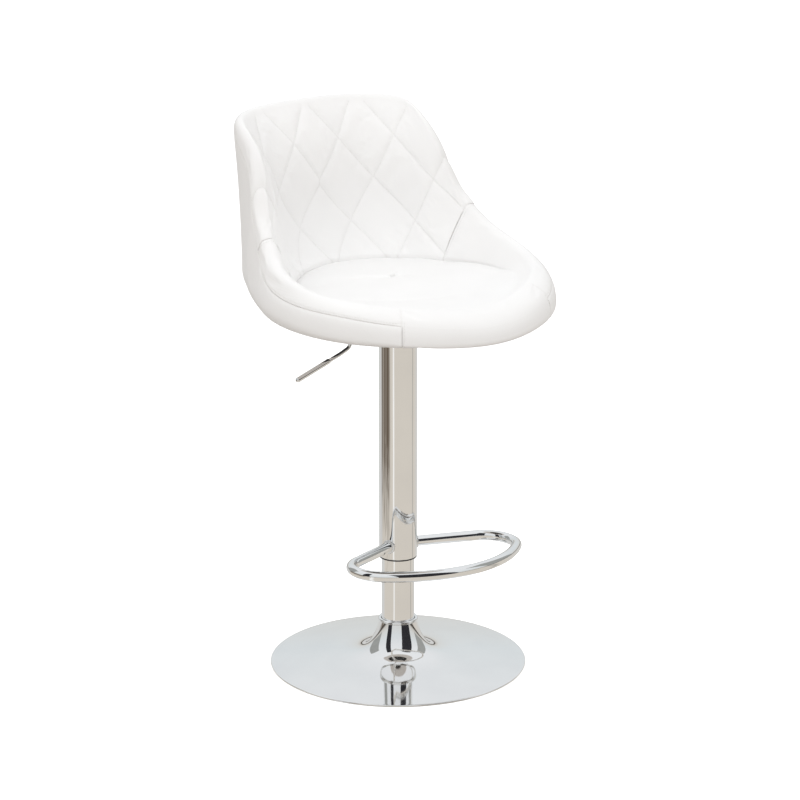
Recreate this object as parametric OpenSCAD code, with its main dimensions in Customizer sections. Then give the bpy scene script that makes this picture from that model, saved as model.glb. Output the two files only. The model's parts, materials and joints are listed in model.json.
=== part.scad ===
// Adjustable swivel stool: gas-lift column on a trumpet base, D-shaped footrest
// and a padded bucket seat. Origin at the centre of the base on the floor, +Z up.
// The seat faces -Y and the sitter's right hand is -X. Millimetres.

/* [Base] */
// Diameter of the base disc
base_d = 391; // [360:1:420]
// Height of the trumpet neck above the floor
neck_h = 67; // [60:1:74]
// Sheet thickness of the spun base disc
base_sheet = 1.5; // [1.2:0.1:2]
// Diameter of the steel ballast plate under the disc
ballast_d = 230; // [200:5:250]

/* [Column] */
// Outer diameter of the fixed column
column_d = 50; // [50:0.5:52]
// Height of the column's top edge above the floor
column_top = 415; // [400:5:430]
// Outer diameter of the gas cylinder
cylinder_d = 28; // [27:0.5:28]
// Diameter of the piston rod
rod_d = 10; // [8:1:12]
// Rise of the seat from its lowest to its highest position
lift_travel = 210; // [180:5:220]

/* [Shroud and footrest] */
// Outer diameter of the shroud tube that rises with the seat
shroud_d = 58; // [57.5:0.5:60]
// Height of the shroud's lower edge with the seat at its lowest
shroud_foot = 172; // [165:1:180]
// Diameter of the footrest tube
footrest_tube_d = 16; // [14:1:18]
// Reach of the footrest tube's centre line in front of the column's axis
footrest_reach = 164.5; // [155:0.5:175]
// Radius of the footrest's front arc
footrest_front_r = 223; // [200:1:240]
// Radius of the footrest's two corner bends
footrest_corner_r = 44; // [38:1:48]
// Angle between straight ahead and each footrest arm
footrest_arm_angle = 72; // [68:0.5:75]
// Turn of the footrest about the column, from straight ahead
footrest_turn = 6; // [-10:0.5:10]
// Tilt of the footrest, lower at the sitter's left
footrest_tilt = 3.3; // [-4:0.1:4]

/* [Lever] */
// Diameter of the lever rod
lever_d = 6; // [5:0.5:6]
// Diameter of the grip sleeve on the lever
grip_d = 8; // [7.5:0.5:9]

/* [Seat] */
// Height of the seat's underside with the seat at its lowest
seat_z = 553; // [550:1:555]
// Distance of the bucket's centre behind the column's axis
seat_back_shift = 12; // [8:1:16]
// Half the thickness of the padded rim at the back
rim_r_back = 12; // [10:1:13]
// Half the thickness of the padded rim at the front
rim_r_front = 22; // [20:1:24]
// Thickness of the moulded shell inside the bucket
shell_t = 9; // [7:1:10]

/* [Hidden] */
$fn = 96;

gap = 1.2;                     // clearance between the bucket's pieces, which only rest on each other
seam_gap = 3;                  // clearance between back pad and outer cover along the welt
run = 0.05;                    // radial clearance of a running fit

// Base and column levels
rim_h = 3;
floor_ring_h = 2;
ballast_h = 6;
flange_z = 9;
flange_h = 6;
flange_d = 92;
bolt_circle = 33;
column_wall = 1.5;
race_h = 2;
ball_d = 4;
race_z = flange_z + flange_h + 2;

// Gas spring levels, seat at its lowest
cylinder_z = 70;
cylinder_wall = 2;
cylinder_cone_z = 500;
cylinder_top = 532;
cone_drop = 0.7;               // the cone's radius shrinks by this much over its length
rod_top = 318;
gland_h = 18;
button_d = 7;
button_hole = button_d + 2 * run;

// Lever
lever_z = 543;
pin_d = 4;
hub_d = 8;
pivot_x = -36;
pivot_z = lever_z - lever_d / 2 - hub_d / 2;
button_top = lever_z - lever_d / 2 - 0.1;

// Seat bracket and mounting board
bracket_w = 160;
bracket_t = 2.5;
cover_t = 1.5;
bracket_z = seat_z - 1 - bracket_t;
socket_d = 44;
board_r = 130;
board_z = seat_z + cover_t + 1.5;
board_h = 11.5;
bolt_half = 60;
bolt_d = 6;
shroud_wall = 1.5;
shroud_top = bracket_z - 1;

// ---------- outline of the bucket, by angle from straight ahead ----------
knot_angle  = [  0,  30,  60,  90, 110, 125, 140, 155, 180];
under_r     = [151, 150, 153, 154, 151, 147, 143, 141, 140];
belt_r      = [252, 247, 240, 229, 219, 220, 231, 227, 212];
belt_rise   = [  5,  13,  22,  39,  51,  55,  55,  52,  49];
rim_out_r   = [228, 229, 227, 216, 207, 212, 245, 256, 246];
rim_rise    = [ 51,  59,  69,  92, 143, 236, 281, 285, 287];
crease_r    = [180, 181, 185, 178, 152, 143, 140, 141, 143];
crease_rise = [ 46,  46,  45,  44,  45,  47,  47,  47,  47];
pad_crown = 8;
welt_drop = 14;

sections = 72;
quarter_steps = 6;
wall_steps = 5;
roll_steps = 6;

// Smooth curve through a table's knots that never overshoots them
function secant(v, i) = (v[i + 1] - v[i]) / (knot_angle[i + 1] - knot_angle[i]);
function slope(v, i) = let (last = len(knot_angle) - 1)
    i == 0 || i == last ? 0 :
    let (a = secant(v, i - 1), b = secant(v, i)) a * b <= 0 ? 0 : 2 * a * b / (a + b);
function span(a, i = 0) = i >= len(knot_angle) - 2 || a < knot_angle[i + 1] ? i : span(a, i + 1);
function along(v, angle) =
    let (a = angle > 180 ? 360 - angle : angle, i = span(a),
         w = knot_angle[i + 1] - knot_angle[i], t = (a - knot_angle[i]) / w,
         t2 = t * t, t3 = t2 * t)
    (2 * t3 - 3 * t2 + 1) * v[i] + (t3 - 2 * t2 + t) * w * slope(v, i)
    + (3 * t2 - 2 * t3) * v[i + 1] + (t3 - t2) * w * slope(v, i + 1);

function rim_r(a) = let (b = a > 180 ? 360 - a : a, t = min(b / 100, 1))
    rim_r_front + (rim_r_back - rim_r_front) * (1 - cos(180 * t)) / 2;
function rim_centre(a) = [along(rim_out_r, a) - rim_r(a), seat_z + along(rim_rise, a) - rim_r(a)];
function crease(a) = [along(crease_r, a), seat_z + along(crease_rise, a)];

// Outer face: underside edge, quarter bowl up to the belt, then the leaning wall
function bowl(from, to, steps) = [for (i = [0:steps]) let (q = 90 * i / steps)
    [from[0] + (to[0] - from[0]) * sin(q), to[1] - (to[1] - from[1]) * cos(q)]];
function wall(from, to, steps, last = 1) = [for (i = [1:steps]) let (t = last * i / steps)
    [from[0] + (to[0] - from[0]) * pow(t, 1.5), from[1] + (to[1] - from[1]) * t]];
function belt(a) = [along(belt_r, a), seat_z + along(belt_rise, a)];
function rim_foot(a) = rim_centre(a) + [rim_r(a), 0];
function welt_at(a) = let (h = rim_foot(a)[1] - belt(a)[1]) 1 - min(0.4, welt_drop / h);
function outer_face(a) = concat(
    bowl([along(under_r, a), seat_z], belt(a), quarter_steps),
    wall(belt(a), rim_foot(a), wall_steps, welt_at(a)));

// Rim roll, from the outer face over the top to where the inner face leaves it
function leave_angle(a) = let (c = rim_centre(a), k = crease(a) - c)
    (atan2(k[1], k[0]) + 360) % 360 - acos(rim_r(a) / norm(k));
function roll(a) = [for (i = [0:roll_steps]) let (q = leave_angle(a) * i / roll_steps)
    rim_centre(a) + rim_r(a) * [cos(q), sin(q)]];

// Centre line of the moulded shell, from its flat middle up into the rim
shell_floor_z = seat_z + 19.5;
flat_edge = 8;                 // width of the flat ring between the mounting board and the bowl
function shell_line(a) =
    let (b = [along(under_r, a), shell_floor_z], top = rim_centre(a),
         m = [min(along(belt_r, a) - 16, top[0] - 4),
              shell_floor_z + 0.6 * along(belt_rise, a)])
    concat([b - [flat_edge, 0]], bowl(b, m, quarter_steps), wall(m, top, wall_steps));
function moved_out(line, d) = [for (i = [0:len(line) - 1])
    let (p = line[max(i - 1, 0)], q = line[min(i + 1, len(line) - 1)], t = (q - p) / norm(q - p))
    line[i] + d * [t[1], -t[0]]];
function shell_outer(a, extra = 0) = moved_out(shell_line(a), shell_t / 2 + extra);
function shell_inner(a, extra = 0) = moved_out(shell_line(a), -shell_t / 2 - extra);
function place_at(line, r, i = 0) = i >= len(line) - 2 || r < line[i + 1][0]
    ? i + (r - line[i][0]) / (line[i + 1][0] - line[i][0]) : place_at(line, r, i + 1);
function point_at(line, place) = let (i = min(floor(place), len(line) - 2))
    line[i] + (place - i) * (line[i + 1] - line[i]);
function backwards(list) = [for (i = [len(list) - 1:-1:0]) list[i]];

// Closed sections of the four bucket pieces
function outer_section(a) = let (inner = shell_outer(a, gap), edge = inner[0][0])
    concat([[edge, seat_z]], outer_face(a),
           backwards([for (i = [0:len(inner) - 2]) inner[i]]));
function back_pad_section(a) =
    let (line = shell_inner(a, gap), start = place_at(line, crease(a)[0] + gap), n = 9,
         outside = shell_outer(a, gap), welt = outer_face(a)[quarter_steps + wall_steps],
         last = len(line) - 1)
    concat([for (i = [n:-1:0]) point_at(line, last + (start - last) * i / n) + [0, i == 0 ? 1 : 0]],
           [outside[last] + [0, 1], outside[last - 1] + [0, seam_gap]],
           [welt + [0, seam_gap]], roll(a), [crease(a) + [gap, 0]]);
function shell_section(a) = concat(
    [[0, shell_floor_z - shell_t / 2]], shell_outer(a), backwards(shell_inner(a)),
    [[0, shell_floor_z + shell_t / 2]]);
function pad_section(a) =
    let (line = shell_inner(a, gap), k = crease(a), floor_z = shell_floor_z + shell_t / 2 + gap,
         edge = point_at(line, place_at(line, k[0])))
    concat([[0, floor_z], [line[0][0], floor_z], [edge[0], edge[1] + gap], k],
           [for (t = [0.93, 0.8, 0.6, 0.4, 0.2]) [k[0] * t, k[1] + pad_crown * (1 - pow(t, 2.5))]],
           [[0, seat_z + crease_rise[len(crease_rise) - 1] + pad_crown]]);

// A point of a section, placed round the bucket's centre
function placed(p, a) = [p[0] * sin(a), seat_back_shift - p[0] * cos(a), p[1]];
function rows_of(n, m, closed) = [for (i = [0:n - 1], j = [0:m - (closed ? 1 : 2)])
    let (k = (i + 1) % n, l = (j + 1) % m)
    each [[i * m + j, k * m + l, k * m + j], [i * m + j, i * m + l, k * m + l]]];

// Ring-shaped piece: the section runs round the bucket and closes on itself
module ring_piece(rows) {
    n = len(rows);
    m = len(rows[0]);
    points = [for (i = [0:n - 1]) each [for (p = rows[i]) placed(p, 360 * i / n)]];
    polyhedron(points, rows_of(n, m, true));
}

// Bowl-shaped piece: each section starts and ends on the bucket's centre line
module bowl_piece(rows) {
    n = len(rows);
    m = len(rows[0]) - 2;
    points = concat(
        [for (i = [0:n - 1]) each [for (j = [1:m]) placed(rows[i][j], 360 * i / n)]],
        [placed(rows[0][0], 0), placed(rows[0][m + 1], 0)]);
    caps = [for (i = [0:n - 1]) let (k = (i + 1) % n)
        each [[n * m, i * m, k * m], [n * m + 1, k * m + m - 1, i * m + m - 1]]];
    polyhedron(points, concat(rows_of(n, m, false), caps));
}

function all_sections(kind) = [for (i = [0:sections - 1]) let (a = 360 * i / sections)
    kind == 0 ? shell_section(a) : kind == 1 ? outer_section(a) :
    kind == 2 ? back_pad_section(a) : pad_section(a)];

// ---------- base ----------
function dome(r) = let (t = 2 * r / base_d) rim_h + 14 * (1 - pow(t, 1.6));
flare_w = 13;
neck_r = column_d / 2 + 3.5;
flare_h = neck_h - dome(neck_r);
function flare(r) = flare_h * exp(-(r - neck_r) / flare_w);
base_steps = 30;
base_line = [for (i = [0:base_steps]) let (t = i / base_steps,
    r = neck_r + (base_d / 2 - neck_r) * pow(t, 2)) [r, dome(r) + flare(r)]];

module base_disc() {
    inner = moved_out(base_line, base_sheet);
    last = len(base_line) - 1;
    color("silver") rotate_extrude()
        polygon(concat(base_line, [[base_d / 2, floor_ring_h]],
                       [for (i = [last - 1:-1:0]) [inner[i][0], max(inner[i][1], floor_ring_h)]]));
}

module base_floor_ring() {
    color("black") difference() {
        cylinder(h = floor_ring_h, d = base_d - 4);
        translate([0, 0, -1]) cylinder(h = floor_ring_h + 2, d = base_d - 24);
    }
}

module around(n, r) {
    for (i = [0:n - 1]) rotate(360 * i / n) translate([r, 0, 0]) children();
}

module tube(outer, inner, z, h) {
    translate([0, 0, z]) difference() {
        cylinder(h = h, d = outer);
        translate([0, 0, -1]) cylinder(h = h + 2, d = inner);
    }
}

module ballast_plate() {
    color("dimgray") difference() {
        tube(ballast_d, 30, flange_z - ballast_h, ballast_h);
        around(3, bolt_circle) cylinder(h = 30, d = 8.5);
    }
}

module column_flange() {
    color("dimgray") difference() {
        tube(flange_d, rod_d + 2 * run, flange_z, flange_h);
        around(3, bolt_circle) cylinder(h = 40, d = 8);
    }
}

module base_bolts() {
    head_z = 0.5;
    shank_z = flange_z - ballast_h;
    color("gray") around(3, bolt_circle) {
        translate([0, 0, head_z]) cylinder(h = shank_z - head_z, d = 13, $fn = 6);
        translate([0, 0, shank_z]) cylinder(h = flange_z + flange_h - shank_z, d = 8);
    }
}

module column_tube() {
    color("silver") tube(column_d, column_d - 2 * column_wall, flange_z + flange_h,
                         column_top - flange_z - flange_h);
}

module collar_ring() {
    ring_r = 2.6;
    color("silver") translate([0, 0, neck_h + ring_r])
        rotate_extrude() translate([column_d / 2 + 0.3 + ring_r, 0]) circle(r = ring_r, $fn = 32);
}

module guide_bushing() {
    color("black") {
        tube(column_d - 2 * column_wall, cylinder_d + 2 * run, column_top - 70, 70);
        tube(column_d, cylinder_d + 2 * run, column_top, 3);
    }
}

// ---------- bearing and rod ----------
module bearing_race_lower() {
    color("silver") tube(30, rod_d + 1, flange_z + flange_h, race_h);
}

module bearing_balls() {
    color("silver") around(12, 10) translate([0, 0, race_z + ball_d / 2 + 0.02]) sphere(d = ball_d);
}

module bearing_race_upper() {
    color("silver") tube(30, rod_d, race_z + ball_d + 0.04, race_h);
}

module bump_stop() {
    color("black") tube(24, rod_d, race_z + ball_d + race_h + 0.04, 16);
}

module retaining_clip() {
    color("gray") tube(18, rod_d, flange_z - 1.5, 1.4);
}

module piston_rod() {
    color("silver") translate([0, 0, flange_z - 4]) cylinder(h = rod_top - flange_z + 4, d = rod_d);
}

module piston_head() {
    color("gray") tube(cylinder_d - 2 * cylinder_wall - 2 * run, rod_d, rod_top - 14, 14);
}

// ---------- gas cylinder ----------
module gas_cylinder() {
    top_plug = 20;
    color("black") difference() {
        union() {
            translate([0, 0, cylinder_z]) cylinder(h = cylinder_cone_z - cylinder_z, d = cylinder_d);
            translate([0, 0, cylinder_cone_z]) cylinder(h = cylinder_top - cylinder_cone_z,
                r1 = cylinder_d / 2, r2 = cylinder_d / 2 - cone_drop);
        }
        translate([0, 0, cylinder_z - 1]) cylinder(h = cylinder_top - top_plug - cylinder_z + 1,
            d = cylinder_d - 2 * cylinder_wall);
        translate([0, 0, cylinder_top - top_plug - 2]) cylinder(h = top_plug + 4, d = button_hole);
    }
}

module cylinder_gland() {
    color("gray") tube(cylinder_d - 2 * cylinder_wall, rod_d + 2 * run, cylinder_z, gland_h);
}

module valve_button() {
    color("silver") translate([0, 0, cylinder_top - 12]) cylinder(h = button_top - cylinder_top + 12,
        d = button_d);
}

// ---------- shroud and footrest ----------
module shroud_tube() {
    slot_w = 14;
    slot_z = 530;
    color("silver") difference() {
        tube(shroud_d, shroud_d - 2 * shroud_wall, shroud_foot, shroud_top - shroud_foot);
        translate([-shroud_d, -slot_w / 2, slot_z]) cube([shroud_d, slot_w, 40]);
    }
}

module shroud_bush() {
    bore = column_d + 0.4;
    color("black") {
        tube(shroud_d - 2 * shroud_wall, bore, shroud_foot, 24);
        tube(shroud_d - 0.6, bore, shroud_foot - 2, 2);
    }
}

module shroud_top_ring() {
    color("black") tube(shroud_d - 2 * shroud_wall, socket_d, 508, 10);
}

// The D is drawn with +X straight ahead, then tilted, and turned to face -Y
footrest_z = shroud_foot + 19;
arm_start = shroud_d / 2 + 0.7;
arm_dir = [cos(footrest_arm_angle), sin(footrest_arm_angle)];
front_x = footrest_reach - footrest_front_r;
reach_left = footrest_front_r - footrest_corner_r;
// corner centre: corner_r from the arm's line and reach_left from the front arc's centre
corner_a = footrest_corner_r / arm_dir[1];
corner_k = arm_dir[0] / arm_dir[1];
corner_qa = 1 + corner_k * corner_k;
corner_qb = 2 * corner_k * (corner_a - front_x);
corner_qc = pow(corner_a - front_x, 2) - reach_left * reach_left;
corner_y = (sqrt(corner_qb * corner_qb - 4 * corner_qa * corner_qc) - corner_qb) / (2 * corner_qa);
corner_x = corner_a + corner_k * corner_y;
arm_end = corner_x * arm_dir[0] + corner_y * arm_dir[1];
front_half = atan2(corner_y, corner_x - front_x);

function arc(centre, r, from, to, steps) = [for (i = [0:steps]) let (q = from + (to - from) * i / steps)
    centre + r * [cos(q), sin(q)]];
half_ring = concat(
    arc([front_x, 0], footrest_front_r, 0, front_half, 8),
    arc([corner_x, corner_y], footrest_corner_r, front_half + 8, footrest_arm_angle + 90, 12),
    [arm_dir * arm_start]);
footrest_path = [for (p = concat(backwards([for (p = half_ring) [p[0], -p[1]]]),
                                 [for (i = [1:len(half_ring) - 1]) half_ring[i]]))
    hung(p)];
function hung(p) = let (x = p[1] * cos(footrest_tilt), y = -p[0])
    [x * cos(footrest_turn) - y * sin(footrest_turn), x * sin(footrest_turn) + y * cos(footrest_turn),
     footrest_z - p[1] * sin(footrest_tilt)];

// Round tube along a path; side is a direction that the path never points along
module swept_tube(path, d, side, n = 16) {
    last = len(path) - 1;
    rings = [for (i = [0:last])
        let (v = path[min(i + 1, last)] - path[max(i - 1, 0)], t = v / norm(v),
             c = cross(t, side), u = c / norm(c), w = cross(t, u))
        each [for (j = [0:n - 1]) path[i] + d / 2 * (cos(360 * j / n) * u + sin(360 * j / n) * w)]];
    skin = [for (i = [0:last - 1], j = [0:n - 1]) let (k = (j + 1) % n)
        each [[i * n + j, (i + 1) * n + j, (i + 1) * n + k], [i * n + j, (i + 1) * n + k, i * n + k]]];
    polyhedron(rings, concat(skin, [[for (j = [0:n - 1]) j]],
                             [[for (j = [0:n - 1]) last * n + n - 1 - j]]));
}

module footrest_ring() {
    color("silver") swept_tube(footrest_path, footrest_tube_d, [0, 0, 1]);
}

module footrest_welds() {
    weld = 2;
    color("silver") for (side = [-1, 1])
        let (v = hung([arm_dir[0], side * arm_dir[1]]) - [0, 0, footrest_z])
            translate([0, 0, footrest_z]) rotate([0, acos(v[2]), atan2(v[1], v[0])])
                tube(footrest_tube_d + 2 * weld, footrest_tube_d + 0.2, arm_start, weld);
}

// ---------- seat bracket and lever ----------
module at_bolts() {
    for (x = [-1, 1], y = [-1, 1]) translate([x * bolt_half, y * bolt_half, 0]) children();
}

module seat_bracket() {
    lug_w = 12;
    lug_t = 3;
    lug_y = 8;
    color("dimgray") difference() {
        union() {
            translate([-bracket_w / 2, -bracket_w / 2, bracket_z])
                cube([bracket_w, bracket_w, bracket_t]);
            translate([0, 0, 500]) cylinder(h = bracket_z - 500, d = socket_d);
            for (s = [-1, 1]) translate([pivot_x - lug_w / 2, s * lug_y - lug_t / 2, pivot_z - 6])
                cube([lug_w, lug_t, bracket_z - pivot_z + 6]);
        }
        translate([0, 0, 500 - 0.01]) cylinder(h = cylinder_top - 500 + 0.02,
            r1 = cylinder_d / 2 + 0.02, r2 = cylinder_d / 2 - cone_drop + 0.02);
        translate([0, 0, cylinder_top]) cylinder(h = bracket_z - cylinder_top, d = socket_d - 10);
        translate([-socket_d, -5, lever_z - 9]) cube([socket_d, 10, bracket_z - lever_z + 9]);
        translate([pivot_x, -20, pivot_z]) rotate([-90, 0, 0]) cylinder(h = 40, d = pin_d);
        at_bolts() translate([0, 0, bracket_z - 1]) cylinder(h = bracket_t + 2, d = bolt_d + 0.6);
    }
}

module lever_pin() {
    color("gray") translate([pivot_x, -12, pivot_z]) rotate([-90, 0, 0]) cylinder(h = 24, d = pin_d);
}

module lever_hub() {
    color("gray") translate([pivot_x, -5.5, pivot_z]) rotate([-90, 0, 0])
        difference() {
            cylinder(h = 11, d = hub_d);
            translate([0, 0, -1]) cylinder(h = 13, d = pin_d + 2 * run);
        }
}

// Bends of the lever rod seen from the front, from the valve out to the grip
lever_bends = [[7, lever_z], [-82, lever_z], [-90, 514], [-106, 507], [-184, 480]];
bend_cut = 5;                  // a bend starts this far from its corner
grip_start = 22;               // distance from the last bend to the grip

function bend_points(p, q, r) = let (a = q + bend_cut * (p - q) / norm(p - q),
                                     b = q + bend_cut * (r - q) / norm(r - q))
    [for (t = [0:0.25:1]) (1 - t) * (1 - t) * a + 2 * t * (1 - t) * q + t * t * b];
last_bend = lever_bends[3];
grip_way = (lever_bends[4] - last_bend) / norm(lever_bends[4] - last_bend);
grip_foot = last_bend + grip_start * grip_way;
lever_line = concat([lever_bends[0]],
    [for (i = [1:3]) each bend_points(lever_bends[i - 1], lever_bends[i], lever_bends[i + 1])],
    [grip_foot]);

module lever_rod() {
    color("silver") swept_tube([for (p = lever_line) [p[0], 0, p[1]]], lever_d, [0, 1, 0]);
}

module lever_grip() {
    length = norm(lever_bends[4] - grip_foot);
    r = grip_d / 2;
    color("silver") translate([grip_foot[0], 0, grip_foot[1]])
        rotate([0, atan2(grip_way[0], grip_way[1]), 0])
        rotate_extrude() difference() {
            union() {
                square([r, length]);
                translate([0, length]) circle(r = r, $fn = 32);
            }
            translate([-2 * r, -r]) square([2 * r, length + 3 * r]);
        }
}

module mounting_board() {
    color("burlywood") difference() {
        translate([0, seat_back_shift, board_z]) cylinder(h = board_h, r = board_r);
        at_bolts() translate([0, 0, board_z - 1]) cylinder(h = board_h + 2, d = bolt_d + 2);
        at_bolts() translate([0, 0, board_z + board_h - 1.5]) cylinder(h = 2, d = 18);
    }
}

module t_nuts() {
    color("gray") at_bolts() {
        tube(bolt_d + 2, bolt_d, board_z + 3, board_h - 3);
        tube(18, bolt_d, board_z + board_h - 1.5, 1.5);
    }
}

module seat_bolts() {
    head_h = 4;
    color("gray") at_bolts() {
        translate([0, 0, bracket_z - 1.2 - head_h]) cylinder(h = head_h, d = 10, $fn = 6);
        translate([0, 0, bracket_z - 1.2]) cylinder(h = board_z + board_h - bracket_z + 1.2, d = bolt_d);
    }
}

module bolt_washers() {
    color("gray") at_bolts() tube(14, bolt_d + 0.2, bracket_z - 1.2, 1.2);
}

module underside_cover() {
    color("black") difference() {
        translate([0, seat_back_shift, bracket_z + bracket_t])
            cylinder(h = board_z - bracket_z - bracket_t, r = board_r);
        at_bolts() translate([0, 0, seat_z - 5]) cylinder(h = 20, d = bolt_d + 2);
    }
}

// ---------- padded bucket ----------
module seat_shell() {
    color("burlywood") bowl_piece(all_sections(0));
}

module outer_cover() {
    color("white") ring_piece(all_sections(1));
}

module back_pad() {
    color("white") ring_piece(all_sections(2));
}

module seat_pad() {
    color("white") bowl_piece(all_sections(3));
}

base_disc();
base_floor_ring();
ballast_plate();
column_flange();
base_bolts();
column_tube();
collar_ring();
guide_bushing();
bearing_race_lower();
bearing_balls();
bearing_race_upper();
bump_stop();
retaining_clip();
piston_rod();
piston_head();
gas_cylinder();
cylinder_gland();
valve_button();
shroud_tube();
shroud_bush();
shroud_top_ring();
footrest_ring();
footrest_welds();
seat_bracket();
lever_pin();
lever_hub();
lever_rod();
lever_grip();
mounting_board();
t_nuts();
seat_bolts();
bolt_washers();
underside_cover();
seat_shell();
outer_cover();
back_pad();
seat_pad();
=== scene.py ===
"""Looks of the adjustable swivel stool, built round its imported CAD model. Metres."""
import json
import math

import bpy
import numpy as np
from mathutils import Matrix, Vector


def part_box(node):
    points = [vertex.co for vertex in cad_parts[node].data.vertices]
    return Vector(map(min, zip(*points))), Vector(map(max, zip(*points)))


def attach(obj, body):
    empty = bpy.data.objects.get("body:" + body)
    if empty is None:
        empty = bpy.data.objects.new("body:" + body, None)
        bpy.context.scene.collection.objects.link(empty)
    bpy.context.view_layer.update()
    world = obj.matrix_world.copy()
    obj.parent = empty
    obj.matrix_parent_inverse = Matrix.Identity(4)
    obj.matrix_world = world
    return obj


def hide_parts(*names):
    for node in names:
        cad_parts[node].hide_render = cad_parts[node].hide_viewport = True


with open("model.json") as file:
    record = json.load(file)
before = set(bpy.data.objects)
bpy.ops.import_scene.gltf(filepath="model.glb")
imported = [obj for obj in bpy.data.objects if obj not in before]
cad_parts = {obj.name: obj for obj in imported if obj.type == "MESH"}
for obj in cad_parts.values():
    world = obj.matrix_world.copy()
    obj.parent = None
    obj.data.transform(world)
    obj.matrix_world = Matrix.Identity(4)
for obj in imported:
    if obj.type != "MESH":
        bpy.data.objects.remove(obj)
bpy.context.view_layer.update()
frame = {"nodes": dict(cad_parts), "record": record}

MM = 0.001
nodes = frame["nodes"]
scene = bpy.context.scene


# ---------- camera, lights and studio ----------
VIEW_AZIMUTH = math.radians(-37)
VIEW_ELEVATION = math.radians(16.5)
VIEW_DISTANCE = 5.0
FOCAL_LENGTH = 149.85
AIM = Vector((0.0024, -0.0018, 0.417))


def add_camera():
    back = Vector((math.sin(VIEW_AZIMUTH) * math.cos(VIEW_ELEVATION),
                   -math.cos(VIEW_AZIMUTH) * math.cos(VIEW_ELEVATION), math.sin(VIEW_ELEVATION)))
    camera = bpy.data.objects.new("camera", bpy.data.cameras.new("camera"))
    camera.data.lens = FOCAL_LENGTH
    camera.data.clip_end = 60
    camera.rotation_mode = "QUATERNION"
    camera.location = AIM + back * VIEW_DISTANCE
    camera.rotation_quaternion = (-back).to_track_quat("-Z", "Y")
    scene.collection.objects.link(camera)
    scene.camera = camera


def add_softbox(name, place, size, power):
    """An area light at place that looks at the seat."""
    light = bpy.data.lights.new(name, "AREA")
    light.shape = "RECTANGLE"
    light.size, light.size_y = size
    light.energy = power
    box = bpy.data.objects.new(name, light)
    box.location = place
    box.rotation_mode = "QUATERNION"
    box.rotation_quaternion = (AIM - Vector(place)).to_track_quat("-Z", "Y")
    box.visible_glossy = False
    scene.collection.objects.link(box)


REFLECTIONS_ONLY = ("visible_camera", "visible_diffuse", "visible_shadow")
BLACK_CARD, GREY_CARD = (0.02, 0.02, 0.025), (0.36, 0.37, 0.36)


def add_sheet(name, corners, paint, hidden):
    """A flat stage object with four corners, unseen by the hidden kinds of ray."""
    mesh = bpy.data.meshes.new(name)
    mesh.from_pydata(corners, [], [(0, 1, 2, 3)])
    mesh.materials.append(paint.material)
    sheet = bpy.data.objects.new(name, mesh)
    scene.collection.objects.link(sheet)
    for ray in hidden:
        setattr(sheet, ray, False)


def level_corners(height, half=14):
    return [(x, y, height) for x, y in ((-half, -half), (half, -half), (half, half), (-half, half))]


def add_card(name, angle, distance, width, low, high, colour):
    """A studio card that only reflections see. Its angle is measured as the camera's azimuth is."""
    a = math.radians(angle)
    out = Vector((math.sin(a), -math.cos(a), 0))
    side = Vector((math.cos(a), math.sin(a), 0))
    corners = [out * distance + side * s * width / 2 + Vector((0, 0, z))
               for s, z in ((-1, low), (1, low), (1, high), (-1, high))]
    paint = Paint(name, Base_Color=(0, 0, 0, 1), Roughness=1, Emission_Strength=1)
    paint.link(paint.ramp(paint.noise(3), (0.3, [0.85 * c for c in colour]), (0.7, colour)), "Emission Color")
    add_sheet(name, corners, paint, REFLECTIONS_ONLY)


def add_floor():
    """The pale floor, which reflections and bounced light don't see."""
    paint = Paint("floor", Roughness=1, Specular_IOR_Level=0, Emission_Strength=0.5)
    tone = paint.ramp(paint.noise(0.6), (0.3, (0.94, 0.94, 0.94)), (0.7, (0.95, 0.95, 0.95)))
    paint.link(tone, "Base Color")
    paint.link(tone, "Emission Color")
    add_sheet("floor", level_corners(0.0), paint, ("visible_glossy", "visible_diffuse"))


CREAM, PALE, BROWN = (0.675, 0.630, 0.565), (0.66, 0.66, 0.65), (0.12, 0.09, 0.065)
# azimuth and colour of the bands that chrome sees along the floor, and how brown they are near the stool
FLOOR_BANDS = ((-180, PALE), (-150, PALE), (-140, CREAM), (-69, CREAM), (-66, (1.0, 0.99, 0.97)),
               (-61, (0.9, 0.89, 0.87)), (-57, CREAM), (20, CREAM), (54, CREAM), (60, (0.42, 0.40, 0.37)),
               (66, CREAM), (120, PALE))
BROWN_BANDS = ((-160, 0), (-140, 1), (-132, 0.5), (-124, 1), (-112, 0.75), (-104, 1), (-92, 0.85), (-82, 0))
BROWN_FADES = (1.0, 1.6)


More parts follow.
